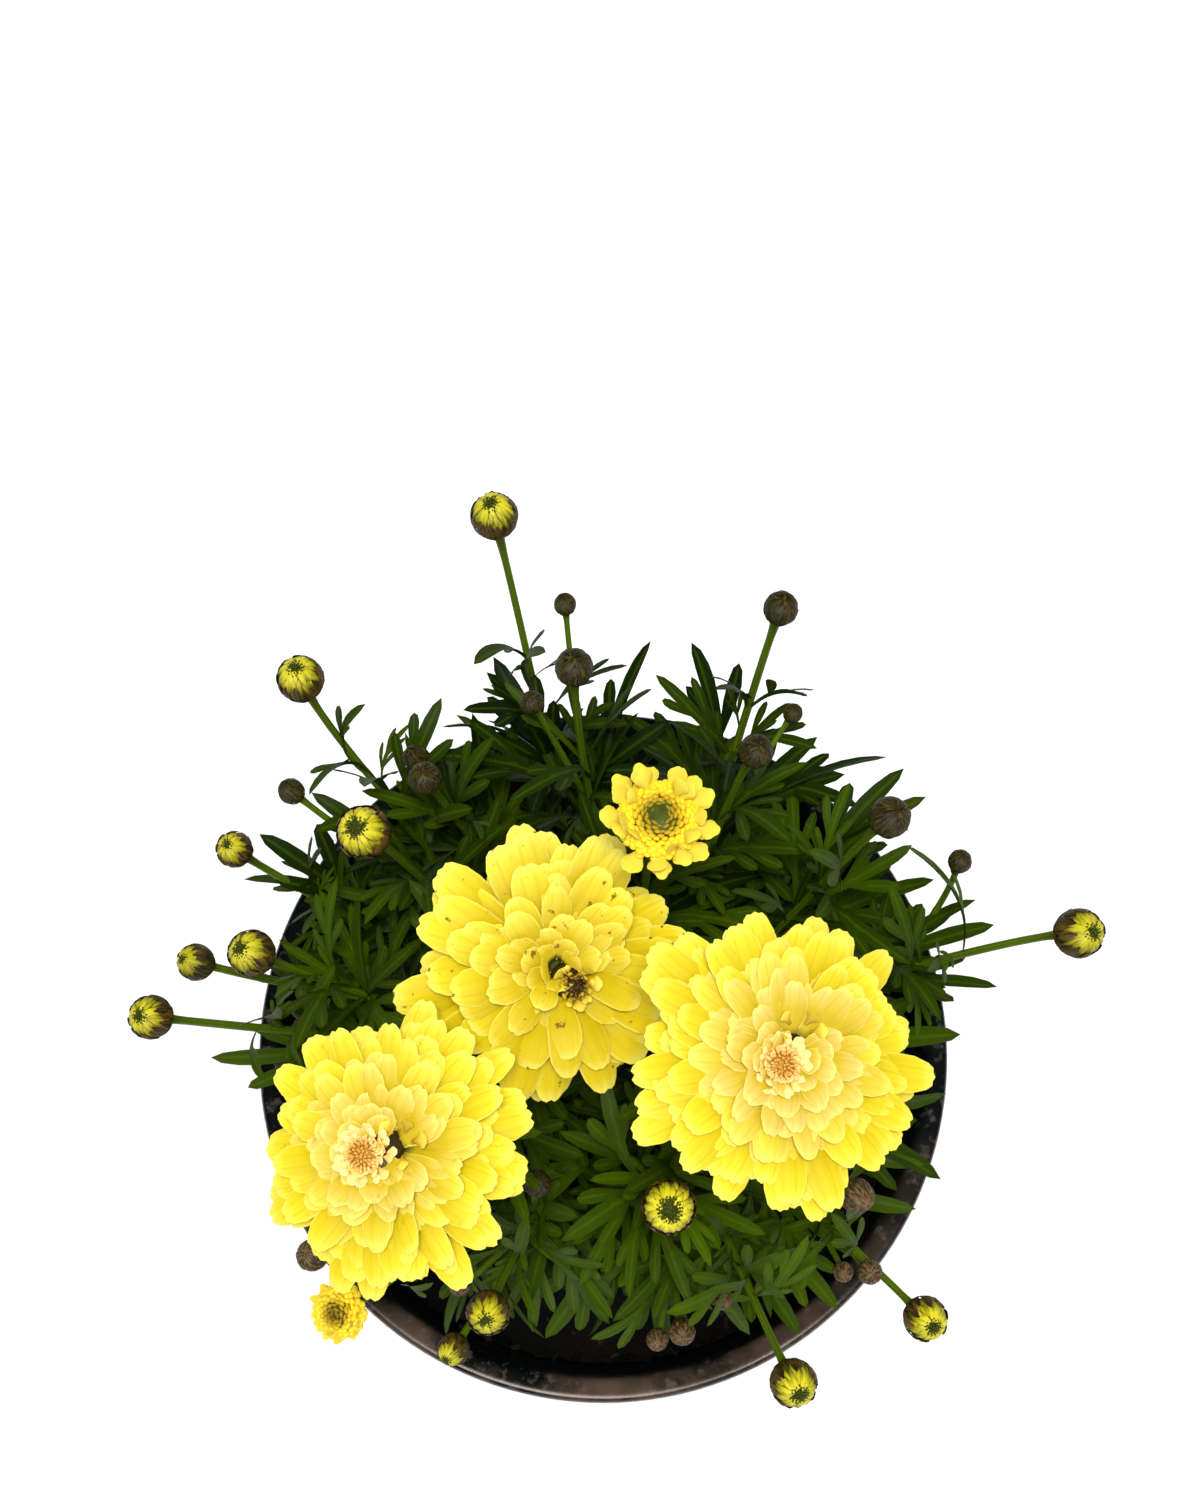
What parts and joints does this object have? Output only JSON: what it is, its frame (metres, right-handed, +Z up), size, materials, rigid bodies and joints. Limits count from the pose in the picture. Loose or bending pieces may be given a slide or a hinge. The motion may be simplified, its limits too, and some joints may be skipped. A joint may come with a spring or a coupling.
{
  "type": "potted marguerite daisy",
  "caption": "Double yellow marguerite daisy in a round black plastic nursery pot: lobed green leaves, open flowers, and buds standing out on slender stalks.",
  "frame": {"origin": "middle of the flat underside of the pot", "axes": "+Z up, +Y away from the viewer towards the back of the plant, +X to the viewer's right"},
  "size_m": [0.1936, 0.1758, 0.2612],
  "materials": {
    "pot_plastic": "black polypropylene with a soft sheen on the lip",
    "potting_mix": "damp, dark bark and peat, matt and crumbly",
    "woody_stem": "grey-brown bark, matt",
    "green_shoot": "living leaves and stems, satin, finely ribbed",
    "bud": "overlapping bracts with dry brown edges over yellow ray tips",
    "bract": "overlapping green bracts with brown edges",
    "yellow_petal": "thin soft petals, lemon at the edge and cream within",
    "golden_petal": "thin golden petals of a flower that is still opening",
    "disc": "tiny cream and gold florets",
    "golden_disc": "tight golden florets round a green centre"
  },
  "bodies": {
    "root": {"pot": "pot_plastic", "potting_mix": "potting_mix", "woody_base": "woody_stem", "bud_01": "bud", "bud_02": "bud", "bud_03": "bud", "bud_04": "bud", "young_flower_back_bract_cup": "bract", "young_flower_back_petals": "golden_petal", "young_flower_back_disc": "golden_disc", "bud_05": "bud", "bud_05_side": "bud", "bud_06": "bud", "bud_07": "bud", "bud_08": "bud", "bud_09": "bud", "bud_10": "bud", "bud_11": "bud", "bud_11_side": "bud", "bud_12": "bud", "flower_centre_bract_cup": "bract", "flower_centre_petals": "yellow_petal", "flower_centre_disc": "disc", "flower_left_bract_cup": "bract", "flower_left_petals": "yellow_petal", "flower_left_disc": "disc", "young_flower_front_bract_cup": "bract", "young_flower_front_petals": "golden_petal", "bud_13": "bud", "bud_14": "bud", "bud_15": "bud", "bud_16": "bud", "bud_17": "bud", "bud_18": "bud", "flower_right_bract_cup": "bract", "flower_right_petals": "yellow_petal", "flower_right_disc": "disc", "bud_18_side": "bud", "shoot_01": "green_shoot", "shoot_02": "green_shoot", "shoot_03": "green_shoot", "shoot_04": "green_shoot", "shoot_05": "green_shoot", "shoot_06": "green_shoot", "shoot_07": "green_shoot", "shoot_08": "green_shoot", "shoot_09": "green_shoot", "shoot_10": "green_shoot", "shoot_11": "green_shoot", "shoot_12": "green_shoot", "shoot_13": "green_shoot", "shoot_14": "green_shoot", "shoot_15": "green_shoot", "shoot_16": "green_shoot", "shoot_17": "green_shoot", "shoot_18": "green_shoot", "shoot_19": "green_shoot", "shoot_20": "green_shoot", "shoot_21": "green_shoot", "shoot_22": "green_shoot"}
  },
  "joints": []
}
